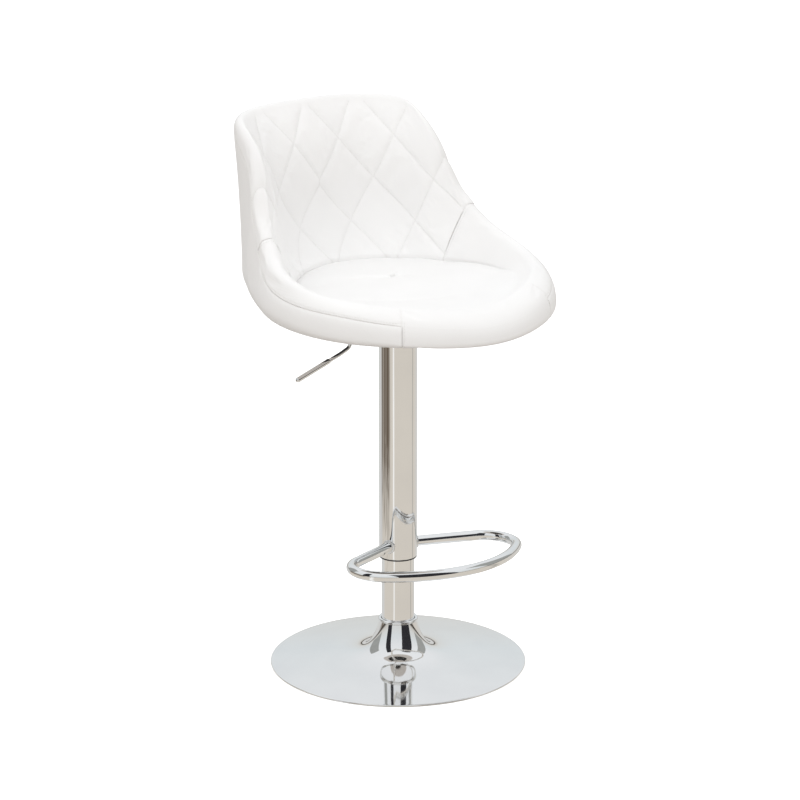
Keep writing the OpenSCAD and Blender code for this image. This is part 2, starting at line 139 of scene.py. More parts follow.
def add_reflected_floor():
    """What chrome sees of the room's floor: warm boards, darker to the camera's left, with paler streaks."""
    paint = Paint("reflected_floor", Base_Color=(0, 0, 0, 1), Roughness=1, Specular_IOR_Level=0,
                  Emission_Strength=1)
    place = paint.place()
    split = paint.add("SeparateXYZ", {0: place})
    turn = paint.maths("ARCTAN2", split.outputs["X"], paint.maths("MULTIPLY", split.outputs["Y"], -1.0))
    wobble = paint.maths("MULTIPLY", paint.maths("SUBTRACT", paint.noise(1.3, 2), 0.5), 7.0)
    bearing = paint.span(paint.maths("ADD", paint.maths("DEGREES", turn, 0.0), wobble), 0, 1, (-180, 180))
    bands = paint.ramp(bearing, *(((angle + 180) / 360, colour) for angle, colour in FLOOR_BANDS))
    brown = paint.ramp(bearing, *(((angle + 180) / 360, (v, v, v)) for angle, v in BROWN_BANDS))
    away = paint.add("VectorMath", {0: place}, operation="LENGTH").outputs["Value"]
    reach = paint.maths("ADD", away, paint.maths("MULTIPLY", paint.noise(7, 1), 0.9))
    brown = paint.maths("MULTIPLY", brown, paint.span(reach, 0, 1, BROWN_FADES))
    paint.link(paint.mix(brown, bands, (*BROWN, 1)), "Emission Color")
    add_sheet("reflected_floor", level_corners(-0.002), paint, REFLECTIONS_ONLY)


def add_world():
    """White to the eye and as light; reflections see a softly graded room."""
    world = bpy.data.worlds.new("studio")
    scene.world = world
    world.use_nodes = True
    world.node_tree.nodes.clear()
    sky = Nodes(world.node_tree)
    ray = sky.add("LightPath")
    height = sky.add("SeparateXYZ", {0: sky.add("TexCoord").outputs["Generated"]}).outputs["Z"]
    room = sky.ramp(height, (0.0, (0.07, 0.06, 0.05)), (0.035, (0.10, 0.09, 0.08)),
                    (0.06, (0.60, 0.58, 0.54)), (0.14, (0.70, 0.71, 0.70)), (0.30, (0.72, 0.76, 0.78)),
                    (0.55, (0.80, 0.82, 0.84)), (1.0, (0.86, 0.88, 0.90)))
    soft = sky.ramp(height, (0.0, (0.60, 0.56, 0.52)), (0.35, (0.94, 0.94, 0.94)))
    reflected, lit, seen = (sky.add("Background", {"Color": colour}).outputs[0]
                            for colour in (room, soft, (1, 1, 1, 1)))
    unseen = sky.add("MixShader", {"Fac": ray.outputs["Is Glossy Ray"], 1: lit, 2: reflected}).outputs[0]
    whole = sky.add("MixShader", {"Fac": ray.outputs["Is Camera Ray"], 1: unseen, 2: seen}).outputs[0]
    sky.add("OutputWorld", {"Surface": whole})


# ---------- materials ----------
class Nodes:
    """Adds nodes to one shader tree."""

    def __init__(self, tree):
        self.tree = tree

    def add(self, kind, inputs=(), **settings):
        node = self.tree.nodes.new("ShaderNode" + kind)
        for key, value in settings.items():
            setattr(node, key, value)
        for socket, value in dict(inputs).items():
            if isinstance(value, bpy.types.NodeSocket):
                self.tree.links.new(value, node.inputs[socket])
            else:
                node.inputs[socket].default_value = value
        return node

    def ramp(self, value, *stops):
        """Colours between (position, colour) stops."""
        node = self.add("ValToRGB", {"Fac": value})
        elements = node.color_ramp.elements
        while len(elements) < len(stops):
            elements.new(0.5)
        for element, (position, colour) in zip(elements, stops):
            element.position = position
            element.color = (*colour, 1)
        return node.outputs["Color"]


class Paint(Nodes):
    """A Principled material with the procedural nodes that its slots need."""

    def __init__(self, name, **constants):
        self.material = bpy.data.materials.new(name)
        self.material.use_nodes = True
        super().__init__(self.material.node_tree)
        self.shader = self.tree.nodes["Principled BSDF"]
        for socket, value in constants.items():
            self.shader.inputs[socket.replace("_", " ")].default_value = value

    def link(self, value, socket):
        self.tree.links.new(value, self.shader.inputs[socket])

    def place(self, stretch=(1, 1, 1)):
        return self.add("Mapping", {"Vector": self.add("TexCoord").outputs["Object"],
                                    "Scale": stretch}).outputs[0]

    def noise(self, scale, detail=3, stretch=(1, 1, 1), roughness=0.5):
        return self.add("TexNoise", {"Vector": self.place(stretch), "Scale": scale, "Detail": detail,
                                     "Roughness": roughness}).outputs["Fac"]

    def cells(self, scale, feature="F1", stretch=(1, 1, 1), output="Distance"):
        return self.add("TexVoronoi", {"Vector": self.place(stretch), "Scale": scale},
                        feature=feature).outputs[output]

    def attribute(self, name):
        return self.add("Attribute", attribute_name=name).outputs["Fac"]

    def maths(self, operation, a, b):
        return self.add("Math", {0: a, 1: b}, operation=operation).outputs[0]

    def span(self, value, low, high, source=(0.3, 0.7)):
        return self.add("MapRange", {"Value": value, "From Min": source[0], "From Max": source[1],
                                     "To Min": low, "To Max": high}).outputs["Result"]

    def mix(self, factor, a, b, blend="MIX"):
        return self.add("Mix", {0: factor, 6: a, 7: b}, data_type="RGBA", blend_type=blend).outputs[2]

    def bump(self, *layers):
        """Each layer is a height, its strength and its depth in metres."""
        normal = None
        for height, strength, depth in layers:
            node = self.add("Bump", {"Height": height, "Strength": strength, "Distance": depth})
            if normal is not None:
                self.tree.links.new(normal, node.inputs["Normal"])
            normal = node.outputs[0]
        self.link(normal, "Normal")


def leatherette():
    paint = Paint("white_leatherette", Roughness=0.44, Specular_IOR_Level=0.42)
    tone = paint.ramp(paint.noise(9, 4), (0.3, (0.870, 0.867, 0.864)), (0.7, (0.898, 0.896, 0.893)))
    # painted shade: the leather's colour darkens where the seam attribute marks seams, creases and quilt
    # grooves
    seam_shaded = paint.mix(paint.attribute("seam"), tone, (0.79, 0.775, 0.76, 1))
    paint.link(seam_shaded, "Base Color")
    paint.link(paint.span(paint.noise(260, 2), 0.40, 0.50), "Roughness")
    grain = paint.cells(820, "SMOOTH_F1")
    folds = paint.noise(85, 5, roughness=0.62)
    pores = paint.noise(2300, 2)
    paint.bump((folds, 0.20, 0.0006), (grain, 0.30, 0.00022), (pores, 0.14, 0.00008))
    return paint.material


def thread():
    paint = Paint("white_thread", Roughness=0.6, Sheen_Weight=0.3)
    paint.link(paint.ramp(paint.noise(700), (0.3, (0.76, 0.75, 0.735)), (0.7, (0.86, 0.855, 0.845))),
               "Base Color")
    paint.bump((paint.noise(3200, 2, (1, 1, 3)), 0.5, 0.0001))
    return paint.material


def chrome():
    paint = Paint("chrome_plate", Metallic=1.0, IOR=2.9)
    bright = paint.ramp(paint.noise(14, 3), (0.3, (0.885, 0.885, 0.885)), (0.7, (0.925, 0.925, 0.92)))
    paint.link(paint.mix(paint.attribute("heat"), bright, (0.78, 0.62, 0.36, 1)), "Base Color")
    smudge = paint.span(paint.noise(38, 5, roughness=0.6), 0.028, 0.075)
    paint.link(paint.maths("ADD", smudge, paint.maths("MULTIPLY", paint.attribute("heat"), 0.2)), "Roughness")
    paint.bump((paint.noise(26, 2), 0.10, 0.0006), (paint.noise(900, 2), 0.04, 0.00003))
    return paint.material


def metal(name, dark, light, rough, grain_scale, stretch, metallic=1.0, flake=0.0):
    """Bare or plated steel: streaks along the short side of stretch, and cloudy wear."""
    paint = Paint(name, Metallic=metallic)
    streak = paint.noise(grain_scale, 4, stretch)
    cloud = paint.noise(30, 4, roughness=0.6)
    tone = paint.ramp(paint.maths("ADD", paint.maths("MULTIPLY", streak, 0.6),
                                  paint.maths("MULTIPLY", cloud, 0.4)), (0.35, dark), (0.65, light))
    if flake:
        spot = paint.span(paint.cells(240, output="Distance"), flake, 0, (0.0, 0.35))
        tone = paint.mix(spot, tone, (0.86, 0.84, 0.76, 1))
    paint.link(tone, "Base Color")
    paint.link(paint.span(cloud, *rough), "Roughness")
    paint.bump((streak, 0.25, 0.0001), (cloud, 0.1, 0.0003))
    return paint.material


def black_paint():
    paint = Paint("black_powder_coat", Coat_Weight=0.15, Coat_Roughness=0.3)
    peel = paint.cells(900, "SMOOTH_F1")
    wear = paint.span(paint.noise(55, 6, roughness=0.7), 0, 1, (0.66, 0.74))
    tone = paint.ramp(paint.noise(20), (0.3, (0.018, 0.018, 0.020)), (0.7, (0.034, 0.034, 0.036)))
    paint.link(paint.mix(wear, tone, (0.09, 0.088, 0.085, 1)), "Base Color")
    paint.link(paint.span(paint.noise(120), 0.34, 0.46), "Roughness")
    paint.bump((peel, 0.35, 0.00012))
    return paint.material


def moulded(name, dark, light, rough, texture_scale, depth):
    """Black plastic or rubber with a moulded surface."""
    paint = Paint(name, Specular_IOR_Level=0.4)
    paint.link(paint.ramp(paint.noise(45, 4), (0.3, dark), (0.7, light)), "Base Color")
    paint.link(paint.span(paint.noise(160), *rough), "Roughness")
    paint.bump((paint.cells(texture_scale), 0.4, depth), (paint.noise(70), 0.12, 0.0003))
    return paint.material


def plywood():
    paint = Paint("birch_plywood", Roughness=0.6)
    face = paint.noise(26, 6, (0.35, 4.5, 1), 0.62)
    ply = paint.add("TexWave", {"Vector": paint.place(), "Scale": 210, "Distortion": 0.6, "Detail": 2},
                    bands_direction="Z").outputs["Fac"]
    wood = paint.ramp(face, (0.3, (0.50, 0.335, 0.185)), (0.55, (0.66, 0.475, 0.285)),
                      (0.75, (0.74, 0.565, 0.365)))
    paint.link(paint.mix(paint.span(ply, 0.0, 0.55), wood, (0.40, 0.25, 0.13, 1), "MULTIPLY"), "Base Color")
    paint.link(paint.span(face, 0.52, 0.7), "Roughness")
    paint.bump((face, 0.3, 0.0002), (ply, 0.15, 0.0002))
    return paint.material


def dust_cloth():
    """Black spun-bonded cloth: fine loose fibres with a grid of bonded dots."""
    paint = Paint("spun_bonded_cloth", Roughness=0.92, Sheen_Weight=0.25, Sheen_Roughness=0.5)
    fibre = paint.noise(900, 4, (1, 5, 1))
    cross_fibre = paint.noise(900, 4, (5, 1, 1))
    both = paint.maths("MAXIMUM", fibre, cross_fibre)
    dots = paint.span(paint.cells(420, output="Distance"), 1, 0, (0.16, 0.30))
    paint.link(paint.mix(dots, paint.ramp(both, (0.4, (0.012, 0.012, 0.013)), (0.75, (0.060, 0.060, 0.062))),
                         (0.016, 0.016, 0.017, 1)), "Base Color")
    paint.bump((both, 0.6, 0.0003), (paint.maths("SUBTRACT", 1.0, dots), 0.5, 0.0002))
    return paint.material


LEATHER = leatherette()
THREAD = thread()
CHROME = chrome()
ZINC = metal("zinc_plate", (0.50, 0.47, 0.39), (0.70, 0.69, 0.66), (0.26, 0.42), 60, (1, 1, 1), flake=0.5)
SLOT_MATERIALS = {
    "chrome": CHROME,
    "floor_rubber": moulded("floor_rubber", (0.012, 0.012, 0.012), (0.030, 0.030, 0.031), (0.7, 0.86),
                            1100, 0.0003),
    "black_plastic": moulded("black_plastic", (0.014, 0.014, 0.016), (0.028, 0.028, 0.030), (0.36, 0.5),
                             1500, 0.0001),
    "raw_steel": metal("raw_steel", (0.26, 0.25, 0.24), (0.46, 0.455, 0.45), (0.38, 0.56), 160, (0.3, 6, 1)),
    "polished_steel": metal("polished_steel", (0.62, 0.62, 0.63), (0.74, 0.74, 0.745), (0.10, 0.2), 300,
                            (4, 4, 0.2)),
    "zinc_fasteners": ZINC,
    "black_paint": black_paint(),
    "plywood": plywood(),
    "dust_cover": dust_cloth(),
    "leatherette": LEATHER,
}


def finish_cad_nodes():
    """Every CAD node that stays gets its slot's material."""
    for part in frame["record"]["subparts"]:
        mesh = nodes[part["node"]].data
        mesh.materials.clear()
        mesh.materials.append(SLOT_MATERIALS[part["material_slot"]])


# ---------- mesh tools ----------
def piece(name, points, faces, material, body, sharp=38, replaces=(), attributes=()):
    mesh = bpy.data.meshes.new(name)
    mesh.from_pydata(np.asarray(points, float).tolist(), [], [list(map(int, f)) for f in faces])
    mesh.shade_smooth()
    mesh.set_sharp_from_angle(angle=math.radians(sharp))
    for key, values in dict(attributes).items():
        layer = mesh.attributes.new(key, "FLOAT", "POINT")
        layer.data.foreach_set("value", np.asarray(values, np.float32))
    mesh.materials.append(material)
    made = bpy.data.objects.new(name, mesh)
    scene.collection.objects.link(made)
    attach(made, body)
    if replaces:
        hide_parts(*replaces)
    return made


def tube_faces(rings, sides, ends=True, closed=False):
    """Quads between rings of vertices; ends closes the first and last ring."""
    i, j = np.meshgrid(np.arange(rings if closed else rings - 1), np.arange(sides), indexing="ij")
    k, l = (j + 1) % sides, (i + 1) % rings
    quads = np.stack([i * sides + j, i * sides + k, l * sides + k, l * sides + j], -1).reshape(-1, 4).tolist()
    if ends and not closed:
        quads.append(list(range(sides - 1, -1, -1)))
        quads.append([(rings - 1) * sides + s for s in range(sides)])
    return quads


def bezier(a, b, c, t):
    """Points at t along the curve from a to c that b pulls at."""
    return (1 - t) ** 2 * a + 2 * t * (1 - t) * b + t ** 2 * c


def rounded(outline, radius, steps=4):
    """A closed (r, z) outline with curved corners; points beside them keep long sides' shading flat."""
    p = np.asarray(outline, float)
    made = []
    for before, here, after in zip(np.roll(p, 1, 0), p, np.roll(p, -1, 0)):
        reach = [min(radius, 0.45 * np.linalg.norm(q - here)) for q in (before, after)]
        a = here + reach[0] * (before - here) / np.linalg.norm(before - here)
        b = here + reach[1] * (after - here) / np.linalg.norm(after - here)
        made.append(here + 2.2 * (a - here) if reach[0] == radius else a)
        made += [bezier(a, here, b, t) for t in np.linspace(0, 1, steps + 1)]
        made.append(here + 2.2 * (b - here) if reach[1] == radius else b)
    made = np.array(made)
    return made[np.linalg.norm(made - np.roll(made, 1, 0), axis=1) > 1e-7]


def lathe_mesh(outline, segments=176, start=0.0, turn=360.0):
    """Points and faces of a closed (r, z) outline turned about Z; an anticlockwise outline faces out."""
    whole = turn >= 360
    count = segments if whole else max(3, int(segments * turn / 360)) + 1
    a = np.radians(start + turn * np.arange(count) / (count if whole else count - 1))
    p = np.asarray(outline, float)
    points = np.stack([np.outer(np.cos(a), p[:, 0]), np.outer(np.sin(a), p[:, 0]),
                       np.tile(p[:, 1], (count, 1))], -1).reshape(-1, 3)
    return points, [f[::-1] for f in tube_faces(count, len(p), closed=whole)]


def sweep_mesh(path, radius, side, sides=24, dome=0):
    """Points and faces of a round rod along a path; dome adds rounded ends."""
    path = np.asarray(path, float)
    radius = np.broadcast_to(np.asarray(radius, float), len(path)).copy()
    if dome:
        caps = np.sin(np.linspace(0, math.pi / 2, 6))[:-1]

        def cap(end, inner):
            away = (end - inner) / np.linalg.norm(end - inner)
            return [end + away * dome * math.sqrt(1 - s * s) for s in caps]

        first, last = cap(path[0], path[1]), cap(path[-1], path[-2])
        path = np.concatenate([first, path, last[::-1]])
        shrink = np.maximum(caps, 0.08)
        radius = np.concatenate([shrink * radius[0], radius, shrink[::-1] * radius[-1]])
    way = np.gradient(path, axis=0)
    way /= np.linalg.norm(way, axis=1)[:, None]
    u = np.cross(way, side)
    u /= np.linalg.norm(u, axis=1)[:, None]
    w = np.cross(way, u)
    q = 2 * math.pi * np.arange(sides) / sides
    cos, sin = np.cos(q)[None, :, None], np.sin(q)[None, :, None]
    ring = radius[:, None, None] * (cos * u[:, None] + sin * w[:, None])
    return (path[:, None] + ring).reshape(-1, 3), tube_faces(len(path), sides)


def joined(*meshes):
    points, faces, offset = [], [], 0
    for p, f in meshes:
        points.append(p)
        faces += [[v + offset for v in face] for face in f]
        offset += len(p)
    return np.concatenate(points), faces


def smoothstep(value, low, high):
    t = np.clip((value - low) / (high - low), 0, 1)
    return t * t * (3 - 2 * t)


# ---------- chromed parts ----------
disc_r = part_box("base_disc")[1].x
neck_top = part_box("base_disc")[1].z
column_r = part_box("column_tube")[1].x
column_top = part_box("column_tube")[1].z
shroud_low, shroud_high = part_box("shroud_tube")
shroud_r = shroud_high.x


def base_disc():
    """Spun trumpet disc: a shallow dome, a flare up to the neck and a rolled rim."""
    rim_z, crown, power, sheet, edge = 0.003, 0.014, 1.6, 0.0015, 0.0011
    neck_r, flare_w, foot_z = column_r + 0.0035, 0.013, 0.002

    def dome(r):
        return rim_z + crown * (1 - (r / disc_r) ** power)

    flare = neck_top - dome(neck_r)
    r = neck_r + (disc_r - neck_r) * np.linspace(0, 1, 90) ** 1.8
    top = np.stack([r, dome(r) + flare * np.exp(-(r - neck_r) / flare_w)], -1)
    way = np.gradient(top, axis=0)
    way /= np.linalg.norm(way, axis=1)[:, None]
    under = top + sheet * np.stack([way[:, 1], -way[:, 0]], -1)
    under[:, 1] = np.maximum(under[:, 1], foot_z)
    keep = r < disc_r - 2.4 * edge
    rim = [(disc_r - edge + edge * math.sin(q), rim_z - edge * 0.9 + edge * math.cos(q))
           for q in np.linspace(0.1, math.pi, 9)]
    outline = np.concatenate([under[keep], rim[::-1], top[keep][::-1]])
    points, faces = lathe_mesh(outline, 224)
    piece("base_disc_chrome", points, faces, CHROME, "base", 50, ["base_disc"])


def pipe_mesh(r, low, high, corner, *turning):
    """Points and faces of a pipe's wall, with small rounded edges."""
    wall = 0.0015
    outline = [(r, low), (r, high), (r - wall, high), (r - wall, low)]
    return lathe_mesh(rounded(outline, corner), *turning)


def tubes():
    """The column, and the shroud with the slot at its top that the lever comes through."""
    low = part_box("column_tube")[0].z
    points, faces = pipe_mesh(column_r, low, column_top, 0.0005, 160)
    piece("column_chrome", points, faces, CHROME, "base", 50, ["column_tube"])

    slot_z, slot_half = 0.530, math.degrees(0.007 / shroud_r)
    points, faces = joined(pipe_mesh(shroud_r, shroud_low.z, slot_z, 0.0006, 176),
                           pipe_mesh(shroud_r, slot_z - 0.001, shroud_high.z, 0.0004, 176, 180 + slot_half,
                                     360 - 2 * slot_half))
    piece("shroud_chrome", points, faces, CHROME, "seat", 50, ["shroud_tube"])


def collar():
    low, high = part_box("collar_ring")
    minor = (high.z - low.z) / 2
    major = high.x - minor
    q = np.linspace(0, 2 * math.pi, 33)[:-1]
    outline = np.stack([major + minor * np.cos(q), low.z + minor + minor * np.sin(q)], -1)
    points, faces = lathe_mesh(outline, 160)
    piece("collar_chrome", points, faces, CHROME, "base", 60, ["collar_ring"])


FOOTREST_REACH, FOOTREST_FRONT_R, FOOTREST_CORNER_R = 0.1645, 0.223, 0.044
FOOTREST_ARM, FOOTREST_TURN, FOOTREST_TILT = math.radians(72), math.radians(6), math.radians(3.3)
FOOTREST_Z = shroud_low.z + 0.019


def footrest_path():
    """The D, drawn with +X straight ahead, then tilted, and turned to face -Y, as the CAD draws it."""
    arm = np.array([math.cos(FOOTREST_ARM), math.sin(FOOTREST_ARM)])
    front_x = FOOTREST_REACH - FOOTREST_FRONT_R
    a, k = FOOTREST_CORNER_R / arm[1], arm[0] / arm[1]
    qa, qb = 1 + k * k, 2 * k * (a - front_x)
    qc = (a - front_x) ** 2 - (FOOTREST_FRONT_R - FOOTREST_CORNER_R) ** 2
    corner_y = (math.sqrt(qb * qb - 4 * qa * qc) - qb) / (2 * qa)
    corner = np.array([a + k * corner_y, corner_y])
    front_half = math.atan2(corner_y, corner[0] - front_x)

    def arc(centre, r, start, stop, steps):
        q = np.linspace(start, stop, steps)
        return np.stack([centre[0] + r * np.cos(q), centre[1] + r * np.sin(q)], -1)

    bend = arc(corner, FOOTREST_CORNER_R, front_half, FOOTREST_ARM + math.pi / 2, 30)
    arm_way = np.linspace(0.04, 1, 14)[:, None]
    half = np.concatenate([arc((front_x, 0), FOOTREST_FRONT_R, 0, front_half, 40)[:-1], bend,
                           bend[-1] + arm_way * (arm * (shroud_r + 0.0003) - bend[-1])])
    mirror = (half * [1, -1])[1:][::-1]
    d = np.concatenate([mirror, half])
    x, y = d[:, 1] * math.cos(FOOTREST_TILT), -d[:, 0]
    cos, sin = math.cos(FOOTREST_TURN), math.sin(FOOTREST_TURN)
    z = FOOTREST_Z - d[:, 1] * math.sin(FOOTREST_TILT)
    return np.stack([x * cos - y * sin, x * sin + y * cos, z], -1)


def footrest():
    """The bent tube, tinted where welding heated it, and the beads at both its ends."""
    radius = 0.008
    path = footrest_path()
    points, faces = sweep_mesh(path, radius, (0, 0, 1), 32)
    near = np.linalg.norm(points[:, :2], axis=1)
    heat = 0.55 * smoothstep(-near, -(shroud_r + 0.014), -(shroud_r + 0.004))
    piece("footrest_chrome", points, faces, CHROME, "seat", 50, ["footrest_ring"],
          {"heat": heat})
    points, faces = joined(weld_bead(path[0], path[1], radius), weld_bead(path[-1], path[-2], radius))
    piece("footrest_welds_chrome", points, faces, CHROME, "seat", 60, ["footrest_welds"],
          {"heat": np.full(len(points), 0.75)})


def weld_bead(end, inner, radius):
    """Points and faces of a rippled fillet round a tube's end, where it meets the shroud."""
    way = (inner - end) / np.linalg.norm(inner - end)
    across = np.cross(way, (0, 0, 1))
    q = np.linspace(0, 2 * math.pi, 97)[:-1]
    ripple = 1 + 0.16 * np.sin(19 * q) + 0.10 * np.sin(7 * q + 1.3)
    ring = np.cos(q)[:, None] * across + np.sin(q)[:, None] * np.array([0, 0, 1.0])
    bead_r = shroud_r + 0.0007
    centres = []
    for direction in ring:
        p = end + direction * (radius + 0.0006)
        flat = np.linalg.norm(p[:2])
        s = (bead_r - flat) / max(0.3, float(way[:2] @ p[:2]) / flat)
        centres.append(p + way * s)
    centres = np.array(centres)
    minor = 0.0019 * ripple
    s = 2 * math.pi * np.arange(12) / 12
    skin = centres[:, None] + minor[:, None, None] * (
        np.cos(s)[None, :, None] * ring[:, None] + np.sin(s)[None, :, None] * way[None, None])
    return skin.reshape(-1, 3), [f[::-1] for f in tube_faces(96, 12, closed=True)]


LEVER_BENDS = [(0.007, 0.543), (-0.082, 0.543), (-0.090, 0.514), (-0.106, 0.507), (-0.184, 0.480)]


def lever():
    """Bent rod from the valve to the grip, as the CAD bends it, and the thicker grip sleeve."""
    low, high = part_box("lever_rod")
    rod_r = (high.y - low.y) / 2
    grip_low, grip_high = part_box("lever_grip")
    grip_r = (grip_high.y - grip_low.y) / 2
    bends = np.array(LEVER_BENDS)
    cut, grip_start = 0.005, 0.022
    line = [bends[0]]
    for before, here, after in zip(bends, bends[1:], bends[2:]):
        a = here + cut * (before - here) / np.linalg.norm(before - here)
        b = here + cut * (after - here) / np.linalg.norm(after - here)
        line += [bezier(a, here, b, t) for t in np.linspace(0, 1, 9)]
    way = (bends[4] - bends[3]) / np.linalg.norm(bends[4] - bends[3])
    foot = bends[3] + grip_start * way
    line.append(foot + 0.002 * way)
    path = np.array([(x, 0, z) for x, z in line])
    points, faces = sweep_mesh(path, rod_r, (0, 1, 0), 24, dome=0.0008)
    piece("lever_rod_chrome", points, faces, CHROME, "lever", 50, ["lever_rod"])
    length = np.linalg.norm(bends[4] - foot)
    along_grip = np.concatenate([[0, 0.0004, 0.0010], np.linspace(0.003, length - 0.001, 12)])
    radius = np.concatenate([[0.85, 0.96, 1.0], np.ones(12)]) * grip_r
    path = np.array([(foot[0] + d * way[0], 0, foot[1] + d * way[1]) for d in along_grip])
    tip = np.linspace(0.25, 1.5, 7)
    path = np.concatenate([path, path[-1] + np.array([way[0], 0, way[1]]) * grip_r * np.sin(tip)[:, None]])
    radius = np.concatenate([radius, grip_r * np.cos(tip)])
    points, faces = sweep_mesh(path, radius, (0, 1, 0), 32)
    piece("lever_grip_chrome", points, faces, CHROME, "lever", 50, ["lever_grip"])


# ---------- bucket surface ----------
KNOT_ANGLE = np.array([0, 30, 60, 90, 110, 125, 140, 155, 180], float)
OUTLINE = {
    "under_r": [151, 150, 153, 154, 151, 147, 143, 141, 140],
    "belt_r": [252, 247, 240, 229, 219, 220, 231, 227, 212],
    "belt_rise": [5, 13, 22, 39, 51, 55, 55, 52, 49],
    "rim_out_r": [228, 229, 227, 216, 207, 212, 245, 256, 246],
    "rim_rise": [51, 59, 69, 92, 143, 236, 281, 285, 287],
    "crease_r": [180, 181, 185, 178, 152, 143, 140, 141, 143],
    "crease_rise": [46, 46, 45, 44, 45, 47, 47, 47, 47],
}
SEAT_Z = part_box("outer_cover")[0].z
BUCKET_Y = (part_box("mounting_board")[0].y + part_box("mounting_board")[1].y) / 2
RIM_FRONT, RIM_BACK = 0.022, 0.012
CROWN = 0.008
UNDER_EDGE = 0.1315
COLUMN_STEP = 2
PAD_ROWS, WALL_ROWS, SKIRT_ROWS = 18, 46, 26
CREASE_ROW = PAD_ROWS
WELT_ROW = PAD_ROWS + WALL_ROWS
CORNER_SEAM, SIDE_SEAM = 34, 108
NOSE_START = 75
WELT_DROP = 0.014
BACK_HOLLOW = 0.012


def along(name, angle):
    """Smooth curve through an outline's knots, at angles from straight ahead, that never overshoots."""
    v = np.array(OUTLINE[name], float) * MM
    a = np.abs((np.asarray(angle, float) + 180) % 360 - 180)
    secant = np.diff(v) / np.diff(KNOT_ANGLE)
    p, q = secant[:-1], secant[1:]
    slope = np.zeros_like(v)
    slope[1:-1] = np.where(p * q > 0, 2 * p * q / np.where(p + q == 0, 1, p + q), 0)
    i = np.clip(np.searchsorted(KNOT_ANGLE, a, "right") - 1, 0, len(v) - 2)
    w = KNOT_ANGLE[i + 1] - KNOT_ANGLE[i]
    t = (a - KNOT_ANGLE[i]) / w
    return ((2 * t ** 3 - 3 * t ** 2 + 1) * v[i] + (t ** 3 - 2 * t ** 2 + t) * w * slope[i]
            + (3 * t ** 2 - 2 * t ** 3) * v[i + 1] + (t ** 3 - t ** 2) * w * slope[i + 1])


def rim_radius(angle):
    t = np.minimum(np.abs((angle + 180) % 360 - 180) / 100, 1)
    return RIM_FRONT + (RIM_BACK - RIM_FRONT) * (1 - np.cos(math.pi * t)) / 2


def lengths(line):
    return np.concatenate([[0], np.cumsum(np.linalg.norm(np.diff(line, axis=0), axis=1))])


def resampled(line, count, skip_first=False):
    """Evenly spaced points along a line."""
    s = lengths(line)
    at = np.linspace(0, s[-1], count + (1 if skip_first else 0))[1 if skip_first else 0:]
    return np.stack([np.interp(at, s, line[:, k]) for k in range(line.shape[1])], -1)


def point_at(line, s, distance):
    """The point at a distance along a line whose points lie at lengths s."""
    return np.array([np.interp(distance, s, line[:, k]) for k in range(line.shape[1])])


def cut_at(line, distance):
    """A line split in two at a distance along it."""
    s = lengths(line)
    point = point_at(line, s, distance)
    return np.vstack([line[s < distance], point]), np.vstack([point, line[s > distance]])


def section(angle):
    """(r, z) points at one angle, from the pad's middle over the rim to the underside's edge."""
    turn = abs((angle + 180) % 360 - 180)
    rim_r = rim_radius(angle)
    rim = np.array([along("rim_out_r", angle) - rim_r, SEAT_Z + along("rim_rise", angle) - rim_r])
    crease = np.array([along("crease_r", angle), SEAT_Z + along("crease_rise", angle)])
    belt = np.array([along("belt_r", angle), SEAT_Z + along("belt_rise", angle)])
    under = np.array([along("under_r", angle), SEAT_Z])
    k = crease - rim
    leave = math.atan2(k[1], k[0]) % (2 * math.pi) - math.acos(rim_r / np.linalg.norm(k))
    t = np.linspace(0.03, 1, 60)
    pad = np.stack([crease[0] * t, crease[1] + CROWN * (1 - t ** 2.5)], -1)

    # the roll runs on into the wall: high up at the rounded front, at the wall's own lean behind
    height = rim[1] - belt[1]
    lean = math.atan2(1.5 * (belt[0] - rim[0] - rim_r), height)
    start = lean + (math.radians(NOSE_START) - lean) * (1 - smoothstep(turn, 45, 95))
    q = np.linspace(leave, start, 40)
    roll = rim + rim_r * np.stack([np.cos(q), np.sin(q)], -1)
    t = np.linspace(0, 1, 60)[:-1]
    tangent = crease + t[:, None] * (roll[0] - crease)
    tangent[:, 0] += BACK_HOLLOW * smoothstep(turn, 118, 150) * np.sin(2 * math.pi * t)
    top = roll[-1]
    shoulder = top[1] - (belt[0] - top[0]) / math.tan(start) if abs(start) > 0.01 else 0
    if not belt[1] < shoulder < top[1]:
        shoulder = top[1] - 0.667 * (top[1] - belt[1])
    t = np.linspace(0, 1, 60)[:, None]
    wall = bezier(top, np.array([belt[0], shoulder]), belt, t)
    welt_z = rim[1] - WELT_DROP * smoothstep(turn, 50, 95)
    inner, skirt = cut_at(wall, float(np.interp(-welt_z, -wall[:, 1], lengths(wall))))
    inner = np.vstack([tangent, roll[:-1], inner])

    reach = 0.045 * (1 - smoothstep(turn, 56, 80))
    if reach > 0.001:
        pad_kept, _ = cut_at(pad, lengths(pad)[-1] - reach)
        _, inner_kept = cut_at(inner, min(reach, 0.34 * lengths(inner)[-1]))
        middle = crease + [0, 0.0058 * reach / 0.045]
        t = np.linspace(0, 1, 41)[:, None]
        bend = bezier(pad_kept[-1], middle, inner_kept[0], t)
        pad = np.vstack([pad_kept[:-1], bend[:21]])
        inner = np.vstack([bend[20:], inner_kept[1:]])
    q = np.linspace(math.pi / 2, 0, 50)[1:]
    bowl = np.stack([under[0] + (belt[0] - under[0]) * np.sin(q),
                     belt[1] - (belt[1] - under[1]) * np.cos(q)], -1)
    hem = np.array([[0.5 * (under[0] + UNDER_EDGE), SEAT_Z + 0.0002], [UNDER_EDGE, SEAT_Z + 0.0012]])
    skirt = np.vstack([skirt, bowl, hem])
    rows = np.vstack([resampled(pad, PAD_ROWS + 1), resampled(inner, WALL_ROWS, True),
                      resampled(skirt, SKIRT_ROWS, True)])
    return rows, lengths(np.vstack([tangent, roll[:1]]))[-1]


def placed(r, z, angle):
    a = np.radians(angle)
    return np.stack([r * np.sin(a), BUCKET_Y - r * np.cos(a), z], -1)


